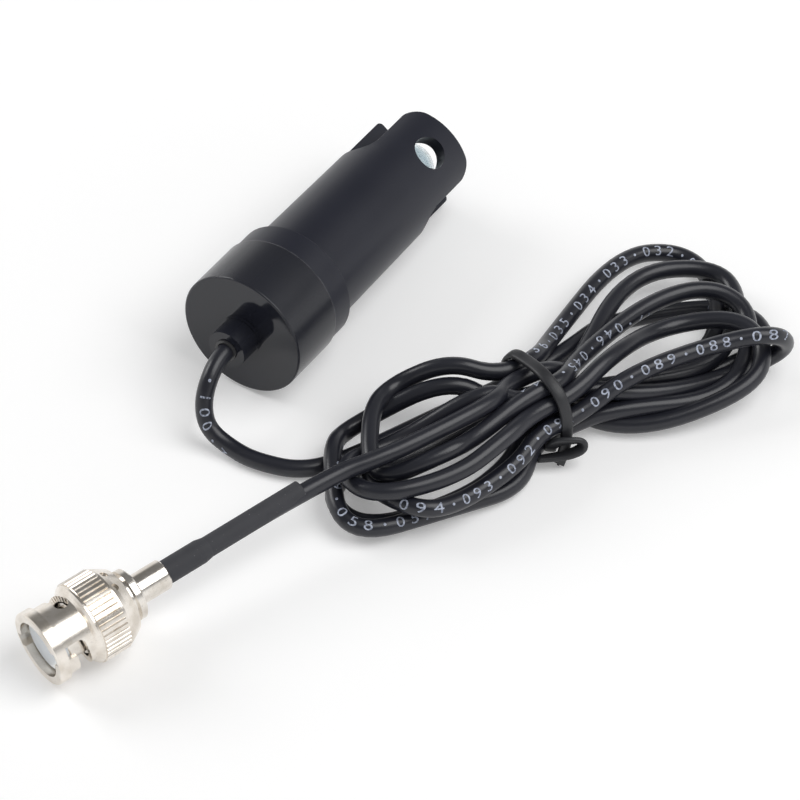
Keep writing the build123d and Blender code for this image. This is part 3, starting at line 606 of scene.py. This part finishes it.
def black_plastic(name, dark, light, rough, grain_scale, grain_depth, edges, **sockets):
    """Black plastic whose edges, given as places along the electrode, are rubbed paler."""
    made = Finish(name, **sockets)
    cloud = made.noise(70, 3)
    grain = made.noise(grain_scale, 2)
    reach = made.along(ELECTRODE_AXIS, CAP_FACE)
    rubbed = 0.0
    for edge in edges:
        near = made.maths("ABSOLUTE", reach - edge * MM, 0.0)
        rubbed = rubbed + (1.0 - made.ramp(near, *RUBBED_WIDTH))
    scuff = made.ramp(made.noise(420, 4), 0.46, 0.62)
    dust = made.ramp(made.noise(1500, 1), 0.845, 0.87)
    base = made.colours(cloud, dark, light)
    base = made.colours(rubbed * scuff * RUBBED_MOST, base, RUBBED_TONE)
    base = made.colours(dust, base, DUST_TONE)
    made.set(
        Base_Color=base,
        Roughness=made.between(cloud, *rough) + dust * 0.3,
        Normal=made.bump(grain, grain_depth, 0.3),
    )
    return made


# Where the cap and the collar end, in millimetres from the cap's face.
CAP_END = 11.35
COLLAR_END = 16.35
body_finish = black_plastic(
    "body_moulded", (0.0098, 0.0110, 0.0195), (0.0150, 0.0166, 0.0275), (0.32, 0.44),
    4200, 0.00002, (CAP_END, COLLAR_END), IOR=1.5, Specular_IOR_Level=0.36)
cap_finish = black_plastic(
    "housing_moulded", (0.0100, 0.0110, 0.0165), (0.0152, 0.0165, 0.0238), (0.16, 0.28),
    3200, 0.00001, (CAP_END,), IOR=1.5, Specular_IOR_Level=0.45)
print("plastics", cap_finish.material.name, body_finish.material.name)

# %% The cap's polished face
facing = cap_finish.dot(cap_finish.node("TexCoord", {}, {}, "Normal"), -ELECTRODE_AXIS)
polished = cap_finish.ramp(facing, 0.90, 0.97)
face_cloud = cap_finish.noise(160, 3)
cap_finish.set(Roughness=cap_finish.between(polished, 0.24, 0.05) + face_cloud * 0.05)
print("polished face set")

# %% [markdown]
# ## Nickel plate
#
# The plug is turned brass with bright nickel on it, a little warm in colour. Turning leaves very
# fine grooves round the axis, which break the reflections into streaks. So the relief and the gloss
# change only along the plug's axis, and a slow noise adds the uneven tarnish of a handled plug.

# %% Turned nickel
PLUG_AXIS = Vector((0.3491758, 0.9339132, 0.0766965)).normalized()
PLUG_START = Vector((9.4, -96.8, 6.535)) * MM
GROOVES = 9000  # a metre
GROOVE_DEPTH = 0.000004
FRECKLE_TONE = (0.30, 0.27, 0.23)


def turned_metal(name, dark, light, rough):
    """Bright metal with grooves round the plug's axis and streaks along them."""
    made = Finish(name, Metallic=1.0)
    reach = made.along(PLUG_AXIS, PLUG_START)
    sockets = {"W": reach, "Scale": GROOVES, "Detail": 2.0}
    groove = made.node("TexNoise", {"noise_dimensions": "1D"}, sockets)
    tarnish = made.noise(330, 4)
    freckle = made.ramp(made.noise(2600, 2), 0.66, 0.74)
    base = made.colours(made.ramp(tarnish, 0.35, 0.70), light, dark)
    base = made.colours(freckle * 0.35, base, FRECKLE_TONE)
    made.set(
        Base_Color=base,
        Roughness=made.between(groove, *rough),
        Normal=made.bump(groove, GROOVE_DEPTH, 0.35),
    )
    return made


nickel_finish = turned_metal(
    "nickel_plate", (0.66, 0.61, 0.545), (0.84, 0.80, 0.745), (0.12, 0.24))
ring_finish = turned_metal(
    "ring_nickel", (0.72, 0.66, 0.58), (0.87, 0.82, 0.755), (0.15, 0.29))
print("metals", nickel_finish.material.name, ring_finish.material.name)

# %% [markdown]
# ## The lead's jacket, its marks and the sleeve
#
# The jacket is soft black plastic: satin, with a shallow ripple along it where the strands inside
# show through, and duller where it has been handled. The sleeve shrunk over the plug's end is matt
# and dusty. The marks are worn white ink.

# %% Jacket
jacket_finish = Finish("lead_jacket", IOR=1.5, Specular_IOR_Level=0.5)
lead_uv = jacket_finish.node("UVMap", {"uv_map": "along"}, {})
ripple = jacket_finish.noise(2.2, 2, lead_uv)
handled = jacket_finish.noise(150, 3)
skin_grain = jacket_finish.noise(3600, 2)
jacket_finish.set(
    Base_Color=jacket_finish.colours(handled, (0.0100, 0.0108, 0.0160), (0.0175, 0.0188, 0.0270)),
    Roughness=jacket_finish.between(handled, 0.24, 0.38),
    Normal=jacket_finish.bump(ripple + skin_grain * 0.12, 0.00012, 0.35),
)
print("jacket finish", len(jacket_finish.tree.nodes), "nodes")

# %% Ink and sleeve
ink_finish = Finish("mark_ink", Specular_IOR_Level=0.4)
worn = ink_finish.ramp(ink_finish.noise(1900, 3), 0.36, 0.60)
ink_finish.set(
    Base_Color=ink_finish.colours(worn, (0.20, 0.22, 0.28), (0.46, 0.50, 0.60)),
    Roughness=ink_finish.between(worn, 0.6, 0.4),
)

sleeve_finish = Finish("shrink_sleeve", Specular_IOR_Level=0.35)
sleeve_cloud = sleeve_finish.noise(260, 4)
sleeve_dust = sleeve_finish.ramp(sleeve_finish.noise(2400, 2), 0.70, 0.78)
sleeve_base = sleeve_finish.colours(sleeve_cloud, (0.032, 0.033, 0.038), (0.058, 0.059, 0.067))
sleeve_finish.set(
    Base_Color=sleeve_finish.colours(sleeve_dust * 0.6, sleeve_base, (0.22, 0.22, 0.23)),
    Roughness=sleeve_finish.between(sleeve_cloud, 0.55, 0.78),
    Normal=sleeve_finish.bump(sleeve_cloud, 0.00012, 0.4),
)
print("ink and sleeve", ink_finish.material.name, sleeve_finish.material.name)

# %% [markdown]
# ## The rest of the finishes
#
# The pieces that are small or covered share one recipe. Each has its own colours, its own gloss
# and a relief at the scale of its material: drawn wire, woven braid, rubber, resin or glass.

# %% Simple finishes


def grained(name, dark, light, rough, grain_scale, grain_depth, **sockets):
    """A finish whose colour and gloss drift a little, with a fine relief."""
    made = Finish(name, **sockets)
    cloud = made.noise(220, 3)
    grain = made.noise(grain_scale, 3)
    made.set(
        Base_Color=made.colours(cloud, dark, light),
        Roughness=made.between(grain, *rough),
        Normal=made.bump(grain, grain_depth, 0.4),
    )
    return made


FINISHES = {
    "housing": cap_finish,
    "body_black": body_finish,
    "nickel": nickel_finish,
    "ring_nickel": ring_finish,
    "sleeve": sleeve_finish,
    "jacket": jacket_finish,
    "cell_glass": grained(
        "cell_glass", (0.80, 0.90, 0.95), (0.86, 0.94, 0.97), (0.04, 0.07), 900, 0.0000005,
        Transmission_Weight=0.86, IOR=1.5),
    "silver": grained(
        "silver_wire", (0.05, 0.048, 0.05), (0.12, 0.115, 0.115), (0.35, 0.55), 5000, 0.00001,
        Metallic=0.6),
    "copper": grained(
        "copper_wire", (0.70, 0.38, 0.22), (0.80, 0.46, 0.28), (0.2, 0.35), 5000, 0.00001,
        Metallic=1.0),
    "dielectric": grained(
        "clear_insulation", (0.80, 0.80, 0.77), (0.88, 0.88, 0.85), (0.35, 0.5), 3000, 0.00001),
    "shroud": grained(
        "joint_sleeve", (0.03, 0.03, 0.03), (0.05, 0.05, 0.05), (0.4, 0.6), 2500, 0.00002),
    "seal_rubber": grained(
        "seal_rubber", (0.02, 0.02, 0.02), (0.035, 0.035, 0.035), (0.5, 0.7), 3500, 0.00002),
    "junction": grained(
        "porous_ring", (0.70, 0.69, 0.66), (0.86, 0.85, 0.82), (0.7, 0.95), 6000, 0.00004),
    "resin": grained(
        "cast_resin", (0.03, 0.03, 0.035), (0.05, 0.05, 0.055), (0.06, 0.14), 600, 0.00001),
    "glue": grained(
        "glue_bead", (0.035, 0.035, 0.037), (0.07, 0.07, 0.072), (0.18, 0.3), 900, 0.00003),
    "spring_bronze": grained(
        "spring_bronze", (0.60, 0.44, 0.26), (0.72, 0.54, 0.32), (0.25, 0.4), 3000, 0.00001,
        Metallic=1.0),
    "gold": grained(
        "gold_plate", (0.80, 0.60, 0.28), (0.90, 0.70, 0.36), (0.15, 0.25), 3000, 0.000006,
        Metallic=1.0),
    "ptfe": grained(
        "white_bead", (0.84, 0.84, 0.82), (0.90, 0.90, 0.88), (0.4, 0.55), 2500, 0.00001),
    "dust_cover": grained(
        "white_cover", (0.74, 0.78, 0.81), (0.80, 0.83, 0.86), (0.35, 0.5), 2200, 0.00001),
    "tie_coat": grained(
        "tie_coat", (0.013, 0.0135, 0.016), (0.023, 0.024, 0.028), (0.36, 0.52), 2400, 0.00003),
    "braid": grained(
        "tinned_braid", (0.50, 0.46, 0.40), (0.66, 0.62, 0.55), (0.25, 0.5), 7000, 0.00006,
        Metallic=1.0),
}
print("finishes", len(FINISHES))

# %% Every node of the frame gets the finish of its slot
WORN_BY = {
    "housing": ["end_cap"],
    "body_black": ["guard_body"],
    "cell_glass": ["glass_cell"],
    "seal_rubber": ["cell_stopper", "rear_seal", "front_seal", "cap_ring", "face_gasket"],
    "silver": ["silver_wire", "reference_wire"],
    "copper": ["lead_core", "plug_core"],
    "dielectric": ["lead_dielectric", "plug_dielectric"],
    "braid": ["lead_braid"],
    "shroud": ["joint_shroud"],
    "junction": ["reference_junction"],
    "resin": ["potting"],
    "glue": ["boss_glue"],
    "ring_nickel": ["coupling_ring"],
    "nickel": ["thrust_washer", "plug_body", "outer_contact", "crimp_ferrule"],
    "spring_bronze": ["wave_washer"],
    "ptfe": ["insulator"],
    "gold": ["centre_pin"],
    "dust_cover": ["dust_plug"],
    "sleeve": ["shrink_sleeve"],
    "jacket": ["near_lead", "far_lead", "lead_hank"],
    "tie_coat": ["twist_tie"],
}


def wear(piece, finish):
    """Puts one finish on a piece in place of what it has."""
    piece.data.materials.clear()
    piece.data.materials.append(finish.material)


for finish_name, wearers in WORN_BY.items():
    for name in wearers:
        wear(nodes[name], FINISHES[finish_name])
wear(jacket, jacket_finish)
wear(marks, ink_finish)
wear(tie_strap, FINISHES["tie_coat"])
wear(tie_wire, FINISHES["silver"])
print("dressed", sum(len(wearers) for wearers in WORN_BY.values()), "of", len(nodes), "nodes")

# %% [markdown]
# ## The lead and the tie join the electrode
#
# The jacket, its marks, the tie's strap and its wire are attached to the electrode. The jacket
# stands for the three plain solids of the lead, and the strap stands for the plain solid of the
# tie; those solids are hidden.

NEW_PIECES = (
    (jacket, "jacket"), (marks, "dust_cover"), (tie_strap, "tie_coat"), (tie_wire, "silver"))
for piece, slot_name in NEW_PIECES:
    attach(piece, ROOT)
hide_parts("near_lead", "far_lead", "lead_hank")
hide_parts("twist_tie")

# %% [markdown]
# ## Floor, light and background
#
# The object lies on a white bench in a room with white walls and a dim ceiling, under two large
# soft lamps. The floor is a pale grey that takes the shadow, with a little white of its own for
# the camera and for reflections, so it looks as white as the paper behind a studio picture.

# %% Floor
FLOOR_SIZE = 6
FLOOR_GLOW = 0.24
bpy.ops.object.select_all(action="DESELECT")
bpy.ops.mesh.primitive_plane_add(size=FLOOR_SIZE)
floor = bpy.context.object
floor.name = "floor"
floor_finish = Finish(
    "white_floor", Base_Color=(0.82, 0.82, 0.82, 1), Roughness=0.9, Specular_IOR_Level=0.2)
seen = [floor_finish.node("LightPath", {}, {}, ray)
        for ray in ("Is Camera Ray", "Is Glossy Ray", "Is Transmission Ray")]
seen_share = floor_finish.maths("MINIMUM", seen[0] + seen[1] + seen[2], 1.0)
floor_finish.set(
    Emission_Color=floor_finish.colours(seen_share, (0, 0, 0), (1, 1, 1)),
    Emission_Strength=FLOOR_GLOW,
)
wear(floor, floor_finish)
print("floor", tuple(round(side, 2) for side in floor.dimensions))

# %% The room: white walls and a dim ceiling
WALL = 1.0
CEILING = 0.22
WALL_TOP = 0.16  # heights as the sine of the angle above the horizon
CEILING_START = 0.55
world = bpy.data.worlds.new("room")
bpy.context.scene.world = world
world.use_nodes = True
links = world.node_tree.links
background = world.node_tree.nodes["Background"]
way_seen = world.node_tree.nodes.new("ShaderNodeTexCoord")
parts = world.node_tree.nodes.new("ShaderNodeSeparateXYZ")
height_share = world.node_tree.nodes.new("ShaderNodeMapRange")
height_share.interpolation_type = "SMOOTHSTEP"
height_share.inputs["From Min"].default_value = WALL_TOP
height_share.inputs["From Max"].default_value = CEILING_START
height_share.inputs["To Min"].default_value = WALL
height_share.inputs["To Max"].default_value = CEILING
links.new(way_seen.outputs["Generated"], parts.inputs[0])
links.new(parts.outputs["Z"], height_share.inputs["Value"])
links.new(height_share.outputs[0], background.inputs["Color"])
background.inputs["Strength"].default_value = 1.0
print("room", WALL, "to", CEILING)

# %% Lamps
OBJECT_PLACE = Vector((0.02, 0, 0))


def panel(name, place, size, power):
    """A soft square lamp that faces the object."""
    lamp_data = bpy.data.lights.new(name, "AREA")
    lamp_data.shape = "SQUARE"
    lamp_data.size = size
    lamp_data.energy = power
    lamp = bpy.data.objects.new(name, lamp_data)
    lamp.location = place
    lamp.rotation_euler = (OBJECT_PLACE - Vector(place)).to_track_quat("-Z", "Y").to_euler()
    bpy.context.scene.collection.objects.link(lamp)


panel("top_panel", (0.52, 0.16, 0.88), 0.8, 6.8)
panel("side_panel", (-0.8, -0.1, 0.55), 0.45, 3)
bpy.context.scene.view_settings.view_transform = "Standard"
print("lights", len(bpy.data.lights))
